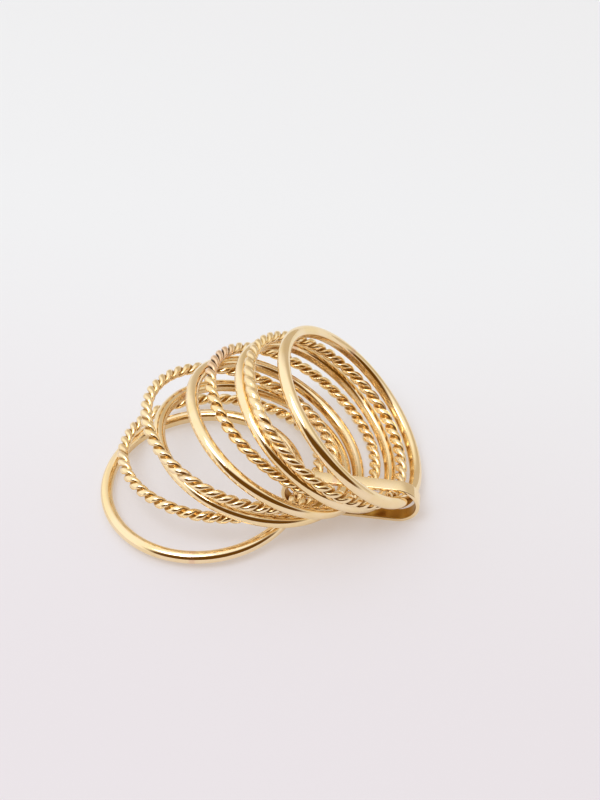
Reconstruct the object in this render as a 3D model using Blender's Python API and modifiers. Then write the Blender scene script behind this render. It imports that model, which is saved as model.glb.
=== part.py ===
"""Linked stacking ring: nine gold hoops, five plain and four of twisted rope, held by one oval link.

It is modelled as it lies on a table: the link stands on its long flat side, and the hoops fan out
from it to the left, each one leaning on the hoop before it. Units are metres and +Z is up. The
origin is the middle of the link's foot, X runs along the link and -Y looks at its open face.
"""

import math

import bmesh
import bpy
import numpy as np
from mathutils import Matrix, Vector

# Driving sizes
FINGER_DIAMETER = 0.0175      # inside of every hoop
PLAIN_WIRE = 0.0012           # across a plain hoop's wire, before its inside is flattened
PLAIN_FLAT = 0.8              # where the flat inside cuts the plain wire, as a share of its half width
ROPE_WIRE = 0.0013            # across a rope hoop, over both strands
ROPE_BUMP = 0.00134           # from one bump of the twist to the next
ROPE_GROOVE = 0.46            # depth of the groove's floor from the middle, as a share of half the rope
ROPE_SHOULDER = 0.9           # the strand's flank, as a share of half the rope
LINK_WALL = 0.0004            # thickness of the link's strip
LINK_STRIP = 0.0013           # width of the strip, across the open face
LINK_PLAY = 0.00013           # room for each wire along the link
LINK_HEADROOM = 0.001         # height left over two ropes laid on each other
LINK_EDGE = 0.00009           # bevel on the strip's edges
GAP = 0.00012                 # smallest air between two pieces

# How the hoops lie. along and up place the spot where a hoop's wire goes through the link, as
# shares of the link's half length and of its free height. turn is the compass bearing of that
# spot from the hoop's middle, heading is the way in which the hoop slopes down, and lean is its
# slope, all three in degrees.
HOOP_LAYOUT = (
    # kind, along, up, turn, heading, lean
    ("plain", -0.818, 0.13, -4, 3, -2),
    ("rope", -0.686, 0.65, -20.5, 73, 10),
    ("plain", -0.215, 0.12, -18.5, 23, 19),
    ("rope", -0.410, 0.82, -18.5, 21, 22),
    ("plain", 0.002, 0.22, -20.5, 16, 33),
    ("rope", 0.128, 0.76, -32, 18.5, 34.5),
    ("plain", 0.432, 0.39, -28.5, 10.5, 40),
    ("rope", 0.605, 0.81, -26.5, 10.5, 40.5),
    ("plain", 0.850, 0.70, -29.5, 10.5, 47),
)

# Fineness of the solids
PLAIN_STEPS = 44              # stations round a plain hoop
ROPE_STEPS = 3                # stations for each bump of the twist
DOME_STEPS = 6                # points on the domed outside of a plain wire
LINK_END_STEPS = 8            # flats round each end of the link
SHARP_EDGE = 50               # degrees past which an edge is shaded sharp
SETTLE_SAMPLES = 150          # points that stand for a hoop while it is settled
SETTLE_ROUNDS = 900           # most rounds of pushing the hoops apart
SLACK = 0.008                 # what counts as nothing in an overlap or a weld, as a share of GAP


def clear_scene():
    for thing in list(bpy.data.objects):
        bpy.data.objects.remove(thing, do_unlink=True)


def new_collection(name):
    group = bpy.data.collections.new(name)
    bpy.context.scene.collection.children.link(group)
    return group


def gold(name, color, roughness):
    material = bpy.data.materials.new(name)
    material.use_nodes = True
    shader = material.node_tree.nodes["Principled BSDF"]
    shader.inputs["Base Color"].default_value = (*color, 1.0)
    shader.inputs["Roughness"].default_value = roughness
    shader.inputs["Metallic"].default_value = 1.0
    return material


# The hoops as circles, laid through the link and then settled

class Hoop:
    """One hoop's centre line: a circle with a centre, a normal and half the width of its wire."""

    def __init__(self, kind, centre, normal):
        self.kind = kind
        self.half_wire = wire_width(kind) / 2
        self.radius = FINGER_DIAMETER / 2 + self.half_wire
        self.centre = centre
        self.normal = normal

    def axes(self):
        """Unit vectors in the hoop's plane: one downhill, one level."""
        level = np.cross((0.0, 0.0, 1.0), self.normal)
        level /= np.linalg.norm(level)
        return np.cross(level, self.normal), level

    def points(self):
        angles = np.linspace(0, math.tau, SETTLE_SAMPLES, endpoint=False)
        downhill, level = self.axes()
        arms = np.outer(np.cos(angles), downhill) + np.outer(np.sin(angles), level)
        return self.centre + self.radius * arms

    def nearest(self, points):
        """The point of this circle that is nearest to each given point."""
        arms = points - self.centre
        flat = arms - np.outer(arms @ self.normal, self.normal)
        return self.centre + flat * (self.radius / np.linalg.norm(flat, axis=1))[:, None]

    def torque(self, point, direction):
        """Turning effect of a push at a point, without the spin about the hoop's own axis."""
        spin = np.cross(point - self.centre, direction)
        return spin - self.normal * (self.normal @ spin)

    def ease(self, torque):
        """How readily the hoop gives way to a push: 1 for its mass, more for its turning."""
        return 1 + 2 * (torque @ torque) / self.radius ** 2

    def shift(self, direction, torque, amount):
        self.centre = self.centre + amount * direction
        turn = 2 * amount / self.radius ** 2 * torque
        normal = self.normal + np.cross(turn, self.normal)
        self.normal = normal / np.linalg.norm(normal)


def wire_width(kind):
    return PLAIN_WIRE if kind == "plain" else ROPE_WIRE


def link_opening():
    """Inner length and height of the link: all the wires side by side, and two ropes deep."""
    wires = [wire_width(row[0]) for row in HOOP_LAYOUT]
    return sum(wires) + len(wires) * LINK_PLAY, 2 * ROPE_WIRE + LINK_HEADROOM


def laid_hoop(kind, along, up, turn, heading, lean):
    length, height = link_opening()
    turn, heading, lean = (math.radians(value) for value in (turn, heading, lean))
    down = np.array((math.cos(heading), math.sin(heading), 0.0))
    normal = math.sin(lean) * down + np.array((0.0, 0.0, math.cos(lean)))
    hoop = Hoop(kind, np.zeros(3), normal)
    level = np.array((-math.sin(heading), math.cos(heading), 0.0))
    downhill = np.cross(level, normal)
    lowest = LINK_WALL + GAP + hoop.half_wire
    free_height = height - 2 * GAP - 2 * hoop.half_wire
    crossing = np.array((along * length / 2, 0.0, lowest + up * free_height))
    bearing = turn - heading
    hoop.centre = crossing - hoop.radius * (math.cos(bearing) * downhill + math.sin(bearing) * level)
    return hoop


def push_off(first, second):
    """Push two hoops apart where the first comes closest to the second. Returns the overlap."""
    points = first.points()
    partners = second.nearest(points)
    air = np.linalg.norm(points - partners, axis=1)
    at = int(air.argmin())
    overlap = first.half_wire + second.half_wire + GAP - air[at]
    if overlap <= 0:
        return 0.0
    way = (points[at] - partners[at]) / air[at]
    first_torque = first.torque(points[at], way)
    second_torque = second.torque(partners[at], -way)
    share = overlap / (first.ease(first_torque) + second.ease(second_torque))
    first.shift(way, first_torque, share)
    second.shift(-way, second_torque, share)
    return overlap


def push_back(hoop, point, way, overlap):
    """Push one hoop away from something fixed. Returns the overlap."""
    if overlap <= 0:
        return 0.0
    torque = hoop.torque(point, way)
    hoop.shift(way, torque, overlap / hoop.ease(torque))
    return overlap


def clear_floor(hoop):
    points = hoop.points()
    at = int(points[:, 2].argmin())
    return push_back(hoop, points[at], np.array((0.0, 0.0, 1.0)), hoop.half_wire - points[at, 2])


def clear_link(hoop):
    """Keep the wire off the link's strip, whose outline is a straight core with round ends."""
    length, height = link_opening()
    points = hoop.points()
    core = length / 2 - height / 2
    across = points[:, 0] - np.clip(points[:, 0], -core, core)
    above = points[:, 2] - (LINK_WALL + height / 2)
    reach = np.hypot(across, above)
    inside = reach < height / 2 + LINK_WALL / 2
    in_wall = np.where(inside, height / 2 - reach, reach - height / 2 - LINK_WALL)
    in_front = np.maximum(np.abs(points[:, 1]) - LINK_STRIP / 2, 0)
    air = np.hypot(in_front, np.maximum(in_wall, 0))
    at = int(air.argmin())
    outward = np.array((across[at], 0.0, above[at])) / reach[at]
    way = -outward if inside[at] else outward
    return push_back(hoop, points[at], way, hoop.half_wire + GAP - air[at])


def settled_hoops():
    """Lay the hoops by the table, then push them apart until every pair keeps its gap."""
    hoops = [laid_hoop(*row) for row in HOOP_LAYOUT]
    for _ in range(SETTLE_ROUNDS):
        worst = 0.0
        for place, hoop in enumerate(hoops):
            for earlier in hoops[:place]:
                worst = max(worst, push_off(hoop, earlier), push_off(earlier, hoop))
        for hoop in hoops:
            worst = max(worst, clear_link(hoop), clear_floor(hoop))
        if worst < SLACK * GAP:
            break
    return hoops


# The sections of the two wires, with +X pointing out of the hoop

def plain_section():
    """A round wire whose inside was hammered flat."""
    half = PLAIN_WIRE / 2
    corner = math.acos(-PLAIN_FLAT)
    angles = [corner * (2 * step / DOME_STEPS - 1) for step in range(DOME_STEPS + 1)]
    return [(half * math.cos(angle), half * math.sin(angle)) for angle in angles]


def rope_section():
    """Two strands side by side: tip, flank and groove, twice round."""
    half = ROPE_WIRE / 2
    reaches = (1.0, ROPE_SHOULDER, ROPE_GROOVE, ROPE_SHOULDER) * 2
    turn = math.tau / len(reaches)
    return [
        (half * reach * math.cos(turn * step), half * reach * math.sin(turn * step))
        for step, reach in enumerate(reaches)
    ]


def poly_curve(name, points, dimensions="3D", tilts=None):
    """A closed curve through the points, straight from one to the next."""
    data = bpy.data.curves.new(name, "CURVE")
    data.dimensions = dimensions
    spline = data.splines.new("POLY")
    spline.points.add(len(points) - 1)
    for index, point in enumerate(points):
        spline.points[index].co = (*point, 1.0)
        if tilts:
            spline.points[index].tilt = tilts[index]
    spline.use_cyclic_u = True
    return data


def curve_to_mesh(name, data, cutters):
    """Turn a curve into a mesh of its own, with its doubles welded and its faces made triangles."""
    guide = bpy.data.objects.new(name + "_guide", data)
    cutters.objects.link(guide)
    bpy.context.view_layer.update()
    evaluated = guide.evaluated_get(bpy.context.evaluated_depsgraph_get())
    mesh = bpy.data.meshes.new_from_object(evaluated)
    mesh.name = name
    bpy.data.objects.remove(guide, do_unlink=True)
    work = bmesh.new()
    work.from_mesh(mesh)
    bmesh.ops.remove_doubles(work, verts=work.verts, dist=SLACK * GAP)
    bmesh.ops.triangulate(work, faces=work.faces, quad_method="SHORT_EDGE")
    bmesh.ops.recalc_face_normals(work, faces=work.faces)
    work.to_mesh(mesh)
    work.free()
    mesh.materials.clear()
    return mesh


def hoop_mesh(name, section, radius, steps, twist_per_step, cutters):
    """Sweep a section round a circle, turning it a little at each step if it is a rope."""
    profile_data = poly_curve(name + "_profile", [(x, y, 0.0) for x, y in section], "2D")
    profile = bpy.data.objects.new(name + "_profile", profile_data)
    cutters.objects.link(profile)
    angles = [math.tau * step / steps for step in range(steps)]
    circle = [(radius * math.cos(angle), radius * math.sin(angle), 0.0) for angle in angles]
    path = poly_curve(name, circle, tilts=[twist_per_step * step for step in range(steps)])
    path.twist_mode = "Z_UP"
    path.bevel_mode = "OBJECT"
    path.bevel_object = profile
    mesh = curve_to_mesh(name, path, cutters)
    bpy.data.objects.remove(profile, do_unlink=True)
    return mesh


def add_piece(name, mesh, material, placing, parts):
    mesh.materials.append(material)
    mesh.shade_smooth()
    mesh.set_sharp_from_angle(angle=math.radians(SHARP_EDGE))
    piece = bpy.data.objects.new(name, mesh)
    piece.matrix_world = placing
    parts.objects.link(piece)
    return piece


def hoop_placing(hoop):
    """The hoop's place: its X downhill, its Y level and its Z along its own axis."""
    downhill, level = hoop.axes()
    placing = Matrix((downhill, level, hoop.normal)).transposed().to_4x4()
    placing.translation = Vector(hoop.centre)
    return placing


def make_plain_hoop(name, hoop, material, parts, cutters):
    mesh = hoop_mesh(name, plain_section(), hoop.radius, PLAIN_STEPS, 0.0, cutters)
    return add_piece(name, mesh, material, hoop_placing(hoop), parts)


def make_rope_hoop(name, hoop, material, parts, cutters):
    """Two bumps make a whole turn of the twist, and the ends meet only after whole turns."""
    turns = round(math.tau * hoop.radius / (2 * ROPE_BUMP))
    steps = 2 * turns * ROPE_STEPS
    mesh = hoop_mesh(name, rope_section(), hoop.radius, steps, -math.pi / ROPE_STEPS, cutters)
    return add_piece(name, mesh, material, hoop_placing(hoop), parts)


def round_ended_outline(length, height):
    """A straight-sided outline whose two ends are half circles cut into flats."""
    points = []
    for side in (1, -1):
        for step in range(LINK_END_STEPS + 1):
            angle = math.pi / 2 * (2 * step / LINK_END_STEPS - side)
            x = side * (length - height) / 2 + height / 2 * math.cos(angle)
            points.append((x, height / 2 * math.sin(angle), 0.0))
    return points


def make_link(name, material, parts, cutters):
    length, height = link_opening()
    outer = round_ended_outline(length + 2 * LINK_WALL, height + 2 * LINK_WALL)
    data = poly_curve(name, outer, "2D")
    inner = data.splines.new("POLY")
    hole = round_ended_outline(length, height)
    inner.points.add(len(hole) - 1)
    for index, point in enumerate(hole):
        inner.points[index].co = (*point, 1.0)
    inner.use_cyclic_u = True
    data.fill_mode = "BOTH"
    data.extrude = LINK_STRIP / 2
    mesh = curve_to_mesh(name, data, cutters)
    lifted = Matrix.Translation((0.0, 0.0, LINK_WALL + height / 2))
    upright = Matrix.Rotation(math.pi / 2, 4, "X")
    link = add_piece(name, mesh, material, lifted @ upright, parts)
    edge = link.modifiers.new("edge", "BEVEL")
    edge.width = LINK_EDGE
    edge.segments = 1
    edge.limit_method = "ANGLE"
    edge.angle_limit = math.radians(SHARP_EDGE)
    return link


def main():
    clear_scene()
    parts = new_collection("linked_stacking_ring")
    cutters = new_collection("guides")
    polished = gold("polished_gold", (0.88, 0.66, 0.36), 0.14)
    twisted = gold("rope_gold", (0.86, 0.62, 0.31), 0.2)
    strip = gold("link_gold", (0.9, 0.7, 0.42), 0.18)
    for number, hoop in enumerate(settled_hoops(), start=1):
        if hoop.kind == "plain":
            make_plain_hoop(f"hoop_{number}_plain", hoop, polished, parts, cutters)
        else:
            make_rope_hoop(f"hoop_{number}_rope", hoop, twisted, parts, cutters)
    make_link("oval_link", strip, parts, cutters)


main()
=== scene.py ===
# %% [markdown]
# # A linked stacking ring in gold
#
# Nine slim hoops hang in one oval link. Five are plain polished wire and four are two
# strands twisted into a rope. They lie on a pale table, fanned out like the pages of a
# book. The solids that say where each hoop lies are already made, so this lesson makes
# the jewellery itself: fine wires swept round each hoop's circle by Geometry Nodes, and
# gold that shows how it was worked.

# %% Open the frame
import math

import bpy
import numpy as np
from mathutils import Matrix, Vector


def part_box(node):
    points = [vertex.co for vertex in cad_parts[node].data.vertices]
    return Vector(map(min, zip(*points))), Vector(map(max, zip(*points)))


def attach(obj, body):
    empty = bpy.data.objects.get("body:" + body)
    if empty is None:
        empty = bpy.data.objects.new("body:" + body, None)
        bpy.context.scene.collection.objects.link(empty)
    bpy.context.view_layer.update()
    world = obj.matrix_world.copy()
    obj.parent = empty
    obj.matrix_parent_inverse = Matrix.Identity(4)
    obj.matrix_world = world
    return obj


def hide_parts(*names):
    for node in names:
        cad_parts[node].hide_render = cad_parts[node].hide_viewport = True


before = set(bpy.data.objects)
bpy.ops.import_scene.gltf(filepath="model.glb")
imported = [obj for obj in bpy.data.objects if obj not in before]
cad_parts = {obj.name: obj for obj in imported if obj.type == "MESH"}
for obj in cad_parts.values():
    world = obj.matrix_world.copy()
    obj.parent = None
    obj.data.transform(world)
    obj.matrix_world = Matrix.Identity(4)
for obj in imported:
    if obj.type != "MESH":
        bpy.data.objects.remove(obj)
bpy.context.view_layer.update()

print("solids:", sorted(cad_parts))

# %% [markdown]
# ## The camera
#
# The photo was taken from half way up and, it seems, from close by: the bumps of the
# ropes look larger at the front than at the back. A camera could be dragged into place by
# hand. It is easier to place by what it looks at: a point on the table, a distance and
# two angles. The lens is then as long as the picture's scale asks for.

# %% Place the camera
MILLIMETRE = 0.001
IMAGE_WIDTH = 600
PIXELS_PER_MILLIMETRE = 9.675
CAMERA_DISTANCE = 150 * MILLIMETRE
CAMERA_ELEVATION = math.radians(44.16)
CAMERA_AZIMUTH = math.radians(8.38)
LOOK_AT = Vector((-6.98, 14.43, 0)) * MILLIMETRE
SENSOR_WIDTH = 36
CLIP_START = 10 * MILLIMETRE


def place_camera():
    data = bpy.data.cameras.new("camera")
    data.sensor_fit = "HORIZONTAL"
    data.sensor_width = SENSOR_WIDTH
    focal_pixels = PIXELS_PER_MILLIMETRE * CAMERA_DISTANCE / MILLIMETRE
    data.lens = focal_pixels / IMAGE_WIDTH * SENSOR_WIDTH
    data.clip_start = CLIP_START
    camera = bpy.data.objects.new("camera", data)
    bpy.context.scene.collection.objects.link(camera)
    camera.rotation_euler = (math.pi / 2 - CAMERA_ELEVATION, 0, CAMERA_AZIMUTH)
    backwards = camera.rotation_euler.to_matrix() @ Vector((0, 0, 1))
    camera.location = LOOK_AT + CAMERA_DISTANCE * backwards
    bpy.context.scene.camera = camera
    print("lens in millimetres:", round(data.lens, 1))


place_camera()

# %% [markdown]
# ## Node trees written as sums
#
# Both the shapes and the gold are made of nodes. Adding nodes one by one hides the idea,
# so one small class wraps a node's output, and plain Python sums on it add the Math
# nodes. Another class adds any other node: its settings first, and then the values or
# links of its sockets.

# %% Wrap a socket


class Value:
    """One output of a node, which takes part in sums."""

    def __init__(self, net, socket):
        self.net = net
        self.socket = socket

    def math(self, operation, *others):
        inputs = dict(enumerate((self, *others)))
        return self.net.add("ShaderNodeMath", {"operation": operation}, inputs)

    def __add__(self, other):
        return self.math("ADD", other)

    def __mul__(self, other):
        return self.math("MULTIPLY", other)

    def __sub__(self, other):
        return self.math("SUBTRACT", other)

    def __truediv__(self, other):
        return self.math("DIVIDE", other)

    def __rsub__(self, other):
        return self.math("MULTIPLY_ADD", -1.0, other)

    def __rtruediv__(self, other):
        return self.math("POWER", -1.0) * other

    def __neg__(self):
        return self * -1.0

    __radd__ = __add__
    __rmul__ = __mul__


print("sums on sockets are ready")

# %% Wrap a tree


class Net:
    """A node tree, and the one way in which nodes are added to it."""

    def __init__(self, tree):
        self.tree = tree

    def add(self, kind, settings=None, inputs=None, output=0):
        node = self.tree.nodes.new(kind)
        for name, setting in (settings or {}).items():
            setattr(node, name, setting)
        for name, value in (inputs or {}).items():
            if isinstance(value, Value):
                self.tree.links.new(value.socket, node.inputs[name])
            else:
                node.inputs[name].default_value = value
        return Value(self, node.outputs[output])

    def other(self, value, output):
        """Another output of the node that a value comes from."""
        return Value(self, value.socket.node.outputs[output])

    def mix(self, factor, low, high):
        """A colour between two colours."""
        inputs = {0: factor, 6: low, 7: high}
        return self.add("ShaderNodeMix", {"data_type": "RGBA"}, inputs, output=2)

    def vector(self, operation, *values, output=0):
        settings = {"operation": operation}
        return self.add("ShaderNodeVectorMath", settings, dict(enumerate(values)), output)

    def scaled(self, vector, factor):
        """A vector made longer or shorter by a factor."""
        inputs = {0: vector, "Scale": factor}
        return self.add("ShaderNodeVectorMath", {"operation": "SCALE"}, inputs)

    def ramp(self, value, low, high):
        """0 up to low, 1 from high on, and a smooth rise between them."""
        settings = {"interpolation_type": "SMOOTHSTEP"}
        return self.add("ShaderNodeMapRange", settings, {0: value, 1: low, 2: high})


print("a tree takes any node, its settings and its values")

# %% [markdown]
# ## Where each hoop lies
#
# A hoop's solid is a coarse ring. Its points lie evenly round a circle, so their mean is
# the circle's centre, and the direction in which they spread least is its axis. The nine
# places could be typed in, but reading the circles back keeps every fine hoop where its
# solid is. The wire's width is read along the axis. On a rope's coarse solid no crest
# points quite that way, so a fine rope comes out about an eighth slimmer than its solid,
# with its outer edge where the solid's is.

# %% Read the circles


class Circle:
    """A hoop's centre line and its wire's width along the axis, read from its solid."""

    def __init__(self, node):
        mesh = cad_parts[node].data
        points = np.array([vertex.co for vertex in mesh.vertices])
        points = np.unique(points.round(7), axis=0)
        self.centre = points.mean(axis=0)
        arms = points - self.centre
        self.normal = np.linalg.svd(arms, full_matrices=False)[2][2]
        self.normal *= math.copysign(1, self.normal[2])
        height = arms @ self.normal
        reach = np.linalg.norm(arms - np.outer(height, self.normal), axis=1)
        self.wire = 2 * np.abs(height).max()
        self.radius = reach.max() - self.wire / 2

    def placing(self):
        """X runs downhill, Y is level and Z is the hoop's own axis."""
        level = Vector((0, 0, 1)).cross(Vector(self.normal)).normalized()
        downhill = level.cross(Vector(self.normal))
        placing = Matrix((downhill, level, self.normal)).transposed().to_4x4()
        placing.translation = Vector(self.centre)
        return placing


hoop_nodes = sorted(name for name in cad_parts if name.startswith("hoop"))
circles = {name: Circle(name) for name in hoop_nodes}
for name, circle in circles.items():
    measures = [round(length / MILLIMETRE, 2) for length in (circle.radius, circle.wire)]
    print(name, "has a radius and a wire of", *measures, "mm")

# %% [markdown]
# ## From a node tree to a mesh
#
# Each kind of piece is one node tree with named inputs. A modifier's inputs are set by
# the sockets' identifiers before the object is first evaluated. The result is then copied
# into a plain mesh, which is moved to its place, and the object that held the modifier is
# removed.

# %% Start and end a tree


def shape_tree(name, inputs):
    """A new geometry tree with one float or material input for each name."""
    tree = bpy.data.node_groups.new(name, "GeometryNodeTree")
    tree.interface.new_socket("Geometry", in_out="OUTPUT", socket_type="NodeSocketGeometry")
    tree.interface.new_socket("Gold", in_out="INPUT", socket_type="NodeSocketMaterial")
    for label in inputs:
        tree.interface.new_socket(label, in_out="INPUT", socket_type="NodeSocketFloat")
    net = Net(tree)
    group = tree.nodes.new("NodeGroupInput")
    sockets = {socket.name: Value(net, socket) for socket in group.outputs if socket.name}
    return net, sockets


def end_tree(net, shape, sockets):
    """Shade the shape smooth, realize it, give it its gold and send it out."""
    smooth = net.add("GeometryNodeSetShadeSmooth", inputs={"Geometry": shape})
    real = net.add("GeometryNodeRealizeInstances", inputs={"Geometry": smooth})
    inputs = {"Geometry": real, "Material": sockets["Gold"]}
    golden = net.add("GeometryNodeSetMaterial", inputs=inputs)
    way_out = net.tree.nodes.new("NodeGroupOutput")
    net.tree.links.new(golden.socket, way_out.inputs[0])
    return net.tree


print("every tree ends in Realize Instances and Set Material")

# %% Bake a piece


def bake_piece(name, tree, values, placing):
    """Run a tree with these values and keep the result as a plain mesh in its place."""
    holder = bpy.data.objects.new(name + "_holder", bpy.data.meshes.new(name + "_empty"))
    bpy.context.scene.collection.objects.link(holder)
    modifier = holder.modifiers.new("shape", "NODES")
    modifier.node_group = tree
    for item in tree.interface.items_tree:
        if item.in_out == "INPUT":
            modifier[item.identifier] = values[item.name]
    holder.update_tag()
    bpy.context.view_layer.update()
    evaluated = holder.evaluated_get(bpy.context.evaluated_depsgraph_get())
    mesh = bpy.data.meshes.new_from_object(evaluated)
    bpy.data.objects.remove(holder, do_unlink=True)
    mesh.name = name
    mesh.transform(placing)
    piece = bpy.data.objects.new(name, mesh)
    bpy.context.scene.collection.objects.link(piece)
    print(name, "has", len(mesh.polygons), "faces")
    return piece


print("a baked piece is a plain mesh, already in its place")

# %% [markdown]
# ## The gold
#
# Polished yellow gold is a metal all through: no paint, no clear coat. What the eye reads
# as gold is a warm colour that deepens each time light bounces from one wire to the next.
# What it reads as real is the rest: faint clouds left by the polishing mop, a few
# hairline scratches, a duller tone where the mop can't reach, which is inside the rings,
# in the grooves and inside the link, and the redder solder where each ring was closed.
# In those same hidden places a painted shade makes the colour browner and darker, where
# shade falls. One even colour would look like plastic, so nodes work the wear and the
# painted shade out from each spot's place and from the marks that its shape carries.

# %% Choose the colours, the wear and the painted shade

BRIGHT_GOLD = (1.0, 0.828, 0.55, 1)
WARM_GOLD = (0.98, 0.79, 0.47, 1)
# painted shade: the browner, darker gold of grooves and inner faces
PAINTED_SHADE_GOLD = (0.54, 0.31, 0.06, 1)
SOLDER_GOLD = (0.90, 0.64, 0.46, 1)
TARNISH = (0.07, 0.035, 0.02, 1)
CLOUD_SCALE = 420.0
CLOUD_RANGE = (0.35, 0.65)
GRAIN_SCALE = 5200.0
GRAIN_DEPTH = 4e-6
SCRATCH_SCALE = 900.0
SCRATCH_WIDTH = 0.012
SOLDER_SHARE = 0.7
HIDDEN_RANGE = (0.03, 0.6)
TARNISH_RANGE = (0.1, 0.6)
CLOUD_DULLS, SCRATCH_DULLS, SEAM_DULLS = 0.04, 0.05, 0.12
GRAIN_RISE, CLOUD_RISE, SCRATCH_SINK = 0.3, 0.7, 0.4
RELIEF_STRENGTH = 0.3

print("a cloud of polish is about", round(1 / CLOUD_SCALE / MILLIMETRE, 1), "mm across")

# %% Mix the gold


def attribute(net, name):
    return net.add("ShaderNodeAttribute", {"attribute_name": name}, output="Fac")


def noise_at(net, place, scale, detail, distortion=0.0):
    """Soft noise that is fixed to the piece."""
    inputs = {"Vector": place, "Scale": scale, "Detail": detail, "Distortion": distortion}
    return net.add("ShaderNodeTexNoise", inputs=inputs)


def gold_material(name, roughness, hidden, painted_shade, dulling, tarnish):
    """Yellow gold, duller where the attribute named by hidden nears 1, and painted browner
    and darker there as shade.
    """
    material = bpy.data.materials.new(name)
    material.use_nodes = True
    net = Net(material.node_tree)
    shader = material.node_tree.nodes["Principled BSDF"]
    shader.inputs["Metallic"].default_value = 1.0
    place = net.add("ShaderNodeTexCoord", output="Object")
    clouds = noise_at(net, place, CLOUD_SCALE, detail=3.0)
    grain = noise_at(net, place, GRAIN_SCALE, detail=2.0)
    scratch = noise_at(net, place, SCRATCH_SCALE, detail=5.0, distortion=2.5)
    hairline = 1 - net.ramp((scratch - 0.5).math("ABSOLUTE"), 0.0, SCRATCH_WIDTH)
    seam = attribute(net, "seam")
    tint = net.mix(net.ramp(clouds, *CLOUD_RANGE), BRIGHT_GOLD, WARM_GOLD)
    tint = net.mix(seam * SOLDER_SHARE, tint, SOLDER_GOLD)
    depth = attribute(net, hidden)
    shade = net.ramp(depth, *HIDDEN_RANGE)
    # painted shade: browner and darker in grooves and on inner faces
    tint = net.mix(painted_shade * shade, tint, PAINTED_SHADE_GOLD)
    tint = net.mix(net.ramp(depth, *TARNISH_RANGE) * seam * tarnish, tint, TARNISH)
    dullness = roughness + CLOUD_DULLS * clouds + SCRATCH_DULLS * hairline
    dullness = dullness + SEAM_DULLS * seam + dulling * shade
    height = grain * GRAIN_RISE + clouds * CLOUD_RISE - hairline * SCRATCH_SINK
    relief = {"Strength": RELIEF_STRENGTH, "Distance": GRAIN_DEPTH, "Height": height}
    bump = net.add("ShaderNodeBump", inputs=relief)
    for label, value in (("Base Color", tint), ("Roughness", dullness), ("Normal", bump)):
        material.node_tree.links.new(value.socket, shader.inputs[label])
    return material


polished_gold = gold_material(
    "polished_gold", roughness=0.05, hidden="inside", painted_shade=0.28, dulling=0.08, tarnish=0.0
)
rope_gold = gold_material(
    "rope_gold", roughness=0.12, hidden="crevice", painted_shade=0.75, dulling=0.12, tarnish=1.0
)
link_gold = gold_material(
    "link_gold", roughness=0.10, hidden="inside", painted_shade=0.95, dulling=0.2, tarnish=0.0
)
print("golds:", polished_gold.name, rope_gold.name, link_gold.name)

# %% [markdown]
# ## The plain hoops
#
# A plain hoop is round wire, bent and soldered, whose inside is then made flat so that it
# sits well on a finger. A torus would be round on both sides. Here a circle is the path
# and a second circle, pressed flat on one side, is the section. A touch of slow noise
# gives the surface the slight waviness of hand work, which is what makes its reflections
# run unevenly.

# %% Sweep a section and place points


def sweep(net, path, section):
    """Carry a section along a path."""
    inputs = {"Curve": path, "Profile Curve": section}
    return net.add("GeometryNodeCurveToMesh", inputs=inputs)


def place_points(net, shape, position):
    """Put the points of a shape somewhere else."""
    inputs = {"Geometry": shape, "Position": position}
    return net.add("GeometryNodeSetPosition", inputs=inputs)


print("a wire is a section swept along a path")

# %% Put the marks of hand work on a shape

WAVE_SEED = 3.0


def hand_waves(net, shape, depth, scale):
    """Move a surface in and out a little, along its own normals."""
    slow = {"Scale": scale, "W": WAVE_SEED, "Detail": 1.0}
    noise = net.add("ShaderNodeTexNoise", {"noise_dimensions": "4D"}, slow)
    offset = net.scaled(net.add("GeometryNodeInputNormal"), (noise - 0.5) * depth)
    return net.add("GeometryNodeSetPosition", inputs={"Geometry": shape, "Offset": offset})


def keep(net, shape, name, kind, value):
    """Store a value on the shape's points under a name of its own."""
    settings = {"data_type": kind, "domain": "POINT"}
    inputs = {"Geometry": shape, "Name": name, "Value": value}
    return net.add("GeometryNodeStoreNamedAttribute", settings, inputs)


def keep_seam(net, path, place, length):
    """Store where the ends of a closed path were soldered: 1 at the joint, 0 elsewhere."""
    way_round = net.add("GeometryNodeSplineParameter")
    turned = (way_round - place + 0.5).math("FLOORED_MODULO", 1.0)
    seam = 1 - net.ramp((turned - 0.5).math("ABSOLUTE") / length, 0.5, 1.0)
    return keep(net, path, "seam", "FLOAT", seam)


def keep_inside(net, shape, outwards, low, high):
    """Store how squarely a surface faces inwards: 0 up to low and 1 from high on."""
    way = net.vector("NORMALIZE", outwards)
    normal = net.add("GeometryNodeInputNormal")
    facing = net.vector("DOT_PRODUCT", normal, way, output="Value")
    return keep(net, shape, "inside", "FLOAT", net.ramp(-facing, low, high))


print("waves, seams and hidden faces can be marked")

# %% Make the plain hoop's tree

PLAIN_FLAT = 0.92
PLAIN_STATIONS = 360
PLAIN_SIDES = 44
PLAIN_INSIDE = (0.75, 0.98)
PLAIN_WAVE = 8e-6
PLAIN_WAVE_SCALE = 260.0
FLAT_EDGE = 0.00003


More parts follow.
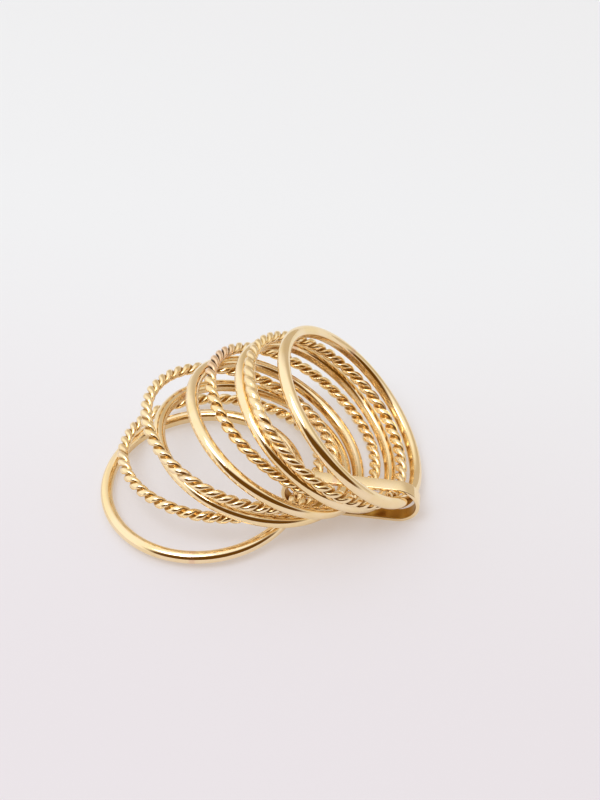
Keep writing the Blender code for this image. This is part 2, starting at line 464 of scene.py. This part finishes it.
def plain_hoop_tree():
    labels = ["Radius", "Wire", "Flat", "Wave", "Seam Place", "Seam Length"]
    net, sockets = shape_tree("plain_hoop", labels)
    circle = {"Resolution": PLAIN_STATIONS, "Radius": sockets["Radius"]}
    path = net.add("GeometryNodeCurvePrimitiveCircle", inputs=circle)
    path = keep_seam(net, path, sockets["Seam Place"], sockets["Seam Length"])
    half = sockets["Wire"] * 0.5
    round_wire = {"Resolution": PLAIN_SIDES, "Radius": half}
    section = net.add("GeometryNodeCurvePrimitiveCircle", inputs=round_wire)
    place = net.add("GeometryNodeInputPosition")
    x = net.add("ShaderNodeSeparateXYZ", inputs={0: place})
    y = net.other(x, 1)
    pressed = x.math("SMOOTH_MAX", half * sockets["Flat"] * -1.0, FLAT_EDGE)
    spot = net.add("ShaderNodeCombineXYZ", inputs={0: pressed, 1: y})
    wire = sweep(net, path, place_points(net, section, spot))
    wire = keep_inside(net, wire, place, *PLAIN_INSIDE)
    wire = hand_waves(net, wire, sockets["Wave"], PLAIN_WAVE_SCALE)
    return end_tree(net, wire, sockets)


plain_tree = plain_hoop_tree()
print(plain_tree.name, "has", len(plain_tree.nodes), "nodes")

# %% Bend the plain hoops


def keep_piece(piece, node):
    """Let a piece ride on the body in place of its solid."""
    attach(piece, "root")
    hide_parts(node)


PLAIN_SEAM_LENGTH = 0.006
SEAM_PLACES = {
    "hoop_1_plain": 0.27,
    "hoop_3_plain": 0.36,
    "hoop_5_plain": 0.20,
    "hoop_7_plain": 0.30,
    "hoop_9_plain": 0.24,
}

for node, seam_place in SEAM_PLACES.items():
    circle = circles[node]
    values = {
        "Gold": polished_gold, "Radius": circle.radius, "Wire": circle.wire,
        "Flat": PLAIN_FLAT, "Wave": PLAIN_WAVE,
        "Seam Place": seam_place, "Seam Length": PLAIN_SEAM_LENGTH,
    }
    piece = bake_piece(node + "_gold", plain_tree, values, circle.placing())
    keep_piece(piece, node)

# %% [markdown]
# ## The rope hoops
#
# Two round strands, twisted together, touch along a line. Two spirals could be swept side
# by side, but then no solder would fill the groove between them. Here the whole rope has
# one section. Cut straight across the rope, each strand is an oval, because it crosses
# the cut at a slant. The section is the outline of both ovals, worked out as a distance
# from the middle for each direction, and solder fills the bottom of the groove. Turning
# that section as it goes round the circle twists the strands. The tilt has to come round
# to a whole number of turns, or the ends won't meet.

# %% Make the rope's section

STRAND_MIDDLE = 0.475
STRAND_DEPTH = 0.525
STRAND_WIDTH = 0.68
GROOVE_FLOOR = 0.31
GROOVE_FILLET = 0.08
CREVICE_START = 0.95
ROPE_SIDES = 40


def rope_section(net, half):
    """A closed outline of two ovals, with a crevice value of 1 deep in the grooves."""
    sides = {"Resolution": ROPE_SIDES, "Radius": 1.0}
    unit = net.add("GeometryNodeCurvePrimitiveCircle", inputs=sides)
    place = net.add("GeometryNodeInputPosition")
    cosine = net.add("ShaderNodeSeparateXYZ", inputs={0: place})
    sine = net.other(cosine, 1)
    along = cosine.math("ABSOLUTE")
    square = cosine * cosine * (1 / STRAND_DEPTH**2) + sine * sine * (1 / STRAND_WIDTH**2)
    linear = along * (STRAND_MIDDLE / STRAND_DEPTH**2)
    constant = (STRAND_MIDDLE / STRAND_DEPTH) ** 2 - 1
    reach = (linear + (linear * linear - square * constant).math("SQRT")) / square
    reach = reach.math("SMOOTH_MAX", GROOVE_FLOOR, GROOVE_FILLET)
    crevice = net.ramp(reach, CREVICE_START, GROOVE_FLOOR)
    section = keep(net, unit, "crevice", "FLOAT", crevice)
    outline = {0: cosine * reach * half, 1: sine * reach * half}
    return place_points(net, section, net.add("ShaderNodeCombineXYZ", inputs=outline))


valley = GROOVE_FLOOR + GROOVE_FILLET / 4
groove = round(100 * (1 - valley))
print("the grooves are", groove, "per cent of the rope's half width deep")

# %% Make the rope hoop's tree

STATIONS_PER_BUMP = 24
UNEVEN_SCALE = 170.0
ROPE_WAVE = 6e-6
ROPE_WAVE_SCALE = 900.0
SOLDERED_REACH = 0.9
SOLDER_FILLET = 0.15
SOLDER_CLEARS = 0.8


def named(net, name, kind):
    return net.add("GeometryNodeInputNamedAttribute", {"data_type": kind}, {"Name": name})


def rope_hoop_tree():
    labels = ["Radius", "Rope", "Bumps", "Unevenness", "Seed"]
    labels += ["Seam Place", "Seam Length", "Seam Fill", "Seam Tint"]
    net, sockets = shape_tree("rope_hoop", labels)
    half = sockets["Rope"] * 0.5
    bumps = sockets["Bumps"]
    circle = {"Resolution": bumps * STATIONS_PER_BUMP, "Radius": sockets["Radius"]}
    path = net.add("GeometryNodeCurvePrimitiveCircle", inputs=circle)
    factor = net.add("GeometryNodeSplineParameter")
    path = keep(net, path, "middle", "FLOAT_VECTOR", net.add("GeometryNodeInputPosition"))
    path = keep_seam(net, path, sockets["Seam Place"], sockets["Seam Length"])
    uneven = {"Scale": UNEVEN_SCALE, "W": sockets["Seed"]}
    noise = net.add("ShaderNodeTexNoise", {"noise_dimensions": "4D"}, uneven)
    tilt = factor * bumps * -math.pi + (noise - 0.5) * sockets["Unevenness"]
    path = net.add("GeometryNodeSetCurveTilt", inputs={"Curve": path, "Tilt": tilt})
    rope = sweep(net, path, rope_section(net, half))
    rope = solder_joint(net, rope, half, sockets)
    rope = hand_waves(net, rope, ROPE_WAVE, ROPE_WAVE_SCALE)
    return end_tree(net, rope, sockets)


def solder_joint(net, rope, half, sockets):
    """Fill the grooves where the hoop's ends were soldered and filed smooth."""
    middle = named(net, "middle", "FLOAT_VECTOR")
    seam = named(net, "seam", "FLOAT")
    filled = seam * sockets["Seam Fill"]
    arm = net.vector("SUBTRACT", net.add("GeometryNodeInputPosition"), middle)
    reach = net.vector("LENGTH", arm, output="Value") / half
    raised = reach.math("SMOOTH_MAX", SOLDERED_REACH, SOLDER_FILLET).math("MINIMUM", 1.0)
    growth = 1 + (raised / reach - 1) * filled
    moved = net.vector("ADD", middle, net.scaled(arm, growth))
    rope = place_points(net, rope, moved)
    # solder in the grooves leaves less room there for the painted shade
    crevice = named(net, "crevice", "FLOAT") * (1 - filled * SOLDER_CLEARS)
    rope = keep(net, rope, "crevice", "FLOAT", crevice)
    return keep(net, rope, "seam", "FLOAT", seam * sockets["Seam Tint"])


rope_tree = rope_hoop_tree()
print(rope_tree.name, "has", len(rope_tree.nodes), "nodes")

# %% [markdown]
# ## Twist the ropes
#
# The four ropes are drawn from the same stock, so they share one bump length. Each has
# its own seed for its small unevenness, and its own place where it was soldered shut.
# Place and length are shares of the way round, fill is how far solder fills the grooves
# there, and tint is how much of the solder's colour and tarnish shows.

# %% Bend the rope hoops

BUMP_LENGTH = 0.00124
UNEVENNESS = 0.5
ROPES = {
    # place, length, fill and tint of the seam, and the seed
    "hoop_2_rope": (0.33, 0.014, 0.7, 0.3, 1.0),
    "hoop_4_rope": (0.62, 0.008, 0.6, 0.3, 2.0),
    "hoop_6_rope": (0.42, 0.070, 0.15, 1.0, 3.0),
    "hoop_8_rope": (0.53, 0.100, 0.85, 0.1, 4.0),
}

for node, (seam_place, seam_length, seam_fill, seam_tint, seed) in ROPES.items():
    circle = circles[node]
    bumps = 2 * round(math.pi * circle.radius / BUMP_LENGTH)
    values = {
        "Gold": rope_gold, "Radius": circle.radius, "Rope": circle.wire, "Bumps": bumps,
        "Seam Place": seam_place, "Seam Length": seam_length, "Seam Fill": seam_fill,
        "Seam Tint": seam_tint, "Unevenness": UNEVENNESS, "Seed": seed,
    }
    print(node, "is twisted into", bumps, "bumps")
    piece = bake_piece(node + "_gold", rope_tree, values, circle.placing())
    keep_piece(piece, node)

# %% [markdown]
# ## The oval link
#
# The link is a flat strip, bent into an oval and soldered. It could be cut out of a thick
# plate, but a swept strip is nearer to how it is made. Its section is a small rectangle
# whose edges were eased with a file, and its path is a long rectangle with fully rounded
# ends. No mop gets inside it, so its inner face stays dull, and a painted shade makes it
# brown.

# %% Make the link

LINK_WALL = 0.0004
LINK_EDGE = 0.0001
LINK_END_POINTS = 40
LINK_STATIONS = 260
LINK_SEAM_PLACE = 0.3
LINK_SEAM_LENGTH = 0.01
LINK_INSIDE = (0.3, 0.8)
LINK_WAVE = 5e-6
LINK_WAVE_SCALE = 300.0
EDGE_POINTS = 5


def rounded_rectangle(net, width, height, radius, points):
    sides = {"Width": width, "Height": height}
    shape = {"mode": "RECTANGLE"}
    corners = net.add("GeometryNodeCurvePrimitiveQuadrilateral", shape, sides)
    fillet = {"Curve": corners, "Radius": radius, "Limit Radius": True, "Count": points}
    return net.add("GeometryNodeFilletCurve", {"mode": "POLY"}, fillet)


def link_tree():
    net, sockets = shape_tree("oval_link", ["Length", "Height", "Wall", "Strip", "Edge"])
    length = sockets["Length"]
    height = sockets["Height"]
    path = rounded_rectangle(net, length, height, height * 0.5, LINK_END_POINTS)
    count = {"Curve": path, "Count": LINK_STATIONS}
    path = net.add("GeometryNodeResampleCurve", {"mode": "COUNT"}, count)
    path = keep_seam(net, path, LINK_SEAM_PLACE, LINK_SEAM_LENGTH)
    wall, breadth, edge = (sockets[label] for label in ("Wall", "Strip", "Edge"))
    section = rounded_rectangle(net, wall, breadth, edge, EDGE_POINTS)
    strip = sweep(net, path, section)
    x = net.add("ShaderNodeSeparateXYZ", inputs={0: net.add("GeometryNodeInputPosition")})
    straight = (length - height) * 0.5
    past = x - x.math("MINIMUM", straight).math("MAXIMUM", -straight)
    outwards = net.add("ShaderNodeCombineXYZ", inputs={0: past, 1: net.other(x, 1)})
    strip = keep_inside(net, strip, outwards, *LINK_INSIDE)
    strip = hand_waves(net, strip, LINK_WAVE, LINK_WAVE_SCALE)
    return end_tree(net, strip, sockets)


low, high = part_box("oval_link")
size = high - low
print("the link's solid is", [round(side / MILLIMETRE, 2) for side in size], "mm")
values = {
    "Gold": link_gold, "Length": size.x - LINK_WALL, "Height": size.z - LINK_WALL,
    "Wall": LINK_WALL, "Strip": size.y, "Edge": LINK_EDGE,
}
standing = Matrix.Translation((low + high) / 2) @ Matrix.Rotation(math.pi / 2, 4, "X")
link = bake_piece("oval_link_gold", link_tree(), values, standing)
keep_piece(link, "oval_link")

# %% [markdown]
# ## Table and light
#
# Gold has no look of its own: it shows the room. Lamps alone would leave its reflections
# black, so the room here is a white tent, painted on the world, over a pale table. In
# front of the ring the tent is open, and the dark room beyond shows there. That opening
# draws the brown line along the front of each plain wire, and the small almond on each
# twist of a rope. The table is wide, so that it fills nearly all of the picture from the
# other sides too.

# %% Lay the table

TABLE_RADIUS = 3.0
TABLE_SIDES = 96
# painted shade: the table's colour is darker and warmer near the front than further back
TABLE_FADE = (-0.03, 0.05)
TABLE_NEAR = (0.365, 0.405, 0.490, 1)
TABLE_FAR = (0.418, 0.508, 0.582, 1)
# the table's glow is painted light, which lifts and warms the shadows on it
GLOW_COLOR = (1.0, 0.84, 0.74, 1)
TABLE_GLOW = 0.455
TABLE_ROUGHNESS = 0.8
TABLE_GLOSS = 0.1


def lay_table():
    """A white sheet that glows a little: painted light that lifts its shadows and warms them,
    as light bounced off the gold would.
    """
    shape = {"vertices": TABLE_SIDES, "radius": TABLE_RADIUS, "fill_type": "NGON"}
    bpy.ops.mesh.primitive_circle_add(**shape)
    table = bpy.context.object
    table.name = "table"
    material = bpy.data.materials.new("pale_table")
    material.use_nodes = True
    net = Net(material.node_tree)
    shader = material.node_tree.nodes["Principled BSDF"]
    place = net.add("ShaderNodeTexCoord", output="Object")
    depth = net.add("ShaderNodeSeparateXYZ", inputs={0: place}, output=1)
    # painted shade: darker and warmer towards the front
    tint = net.mix(net.ramp(depth, *TABLE_FADE), TABLE_NEAR, TABLE_FAR)
    material.node_tree.links.new(tint.socket, shader.inputs["Base Color"])
    shader.inputs["Roughness"].default_value = TABLE_ROUGHNESS
    shader.inputs["Specular IOR Level"].default_value = TABLE_GLOSS
    shader.inputs["Emission Color"].default_value = GLOW_COLOR
    shader.inputs["Emission Strength"].default_value = TABLE_GLOW
    table.data.materials.append(material)
    print("the table is", 2 * TABLE_RADIUS, "m across")


lay_table()

# %% Hang the tent

TENT_COLOR = (1.0, 0.99, 0.985, 1)
TENT_STRENGTH = 1.065
SHADE_COLOR = (0.60, 0.53, 0.45, 1)
SHADE_WAY = (0.45, 0.89, 0.0)
ROOM_COLOR = (0.15, 0.07, 0.010, 1)
OPENING_MIDDLE = (0.15, 0.27)
OPENING_REACH = (0.88, 0.60)
OPENING_EDGE = (0.85, 1.1)
OPENING_SIDE = (0.0, 0.2)
SHADE_EDGE = (0.1, 0.8)
SHADE_TOP = (0.5, 1.0)


def hang_tent():
    """A dome that is dimmer low at the back and open to a dark room in front."""
    world = bpy.data.worlds.new("tent")
    bpy.context.scene.world = world
    world.use_nodes = True
    net = Net(world.node_tree)
    way = net.add("ShaderNodeTexCoord", output="Generated")
    x = net.add("ShaderNodeSeparateXYZ", inputs={0: way})
    y = net.other(x, 1)
    z = net.other(x, 2)
    sideways = (x - OPENING_MIDDLE[0]) / OPENING_REACH[0]
    upwards = (z - OPENING_MIDDLE[1]) / OPENING_REACH[1]
    reach = (sideways * sideways + upwards * upwards).math("SQRT")
    in_front = net.ramp(-y, *OPENING_SIDE)
    opening = (1 - net.ramp(reach, *OPENING_EDGE)) * in_front
    towards = net.vector("DOT_PRODUCT", way, SHADE_WAY, output="Value")
    shade = net.ramp(towards, *SHADE_EDGE) * (1 - net.ramp(z, *SHADE_TOP))
    tent = net.mix(shade, TENT_COLOR, SHADE_COLOR)
    room = net.mix(opening, tent, ROOM_COLOR)
    background = world.node_tree.nodes["Background"]
    world.node_tree.links.new(room.socket, background.inputs["Color"])
    background.inputs["Strength"].default_value = TENT_STRENGTH


hang_tent()
print("the tent's strength is", TENT_STRENGTH)

# %% Add the softbox

SOFTBOX_PLACE = (-0.12, -0.14, 0.42)
SOFTBOX_SIZE = 0.22
SOFTBOX_POWER = 0.65
PICTURE_GAMMA = 0.9


def add_softbox(name, location, size, power):
    """A square lamp that points at the ring."""
    data = bpy.data.lights.new(name, "AREA")
    data.size = size
    data.energy = power
    lamp = bpy.data.objects.new(name, data)
    bpy.context.scene.collection.objects.link(lamp)
    lamp.location = location
    lamp.rotation_euler = Vector(location).to_track_quat("Z", "Y").to_euler()


add_softbox("front_softbox", SOFTBOX_PLACE, SOFTBOX_SIZE, SOFTBOX_POWER)
bpy.context.scene.view_settings.view_transform = "Standard"
bpy.context.scene.view_settings.gamma = PICTURE_GAMMA
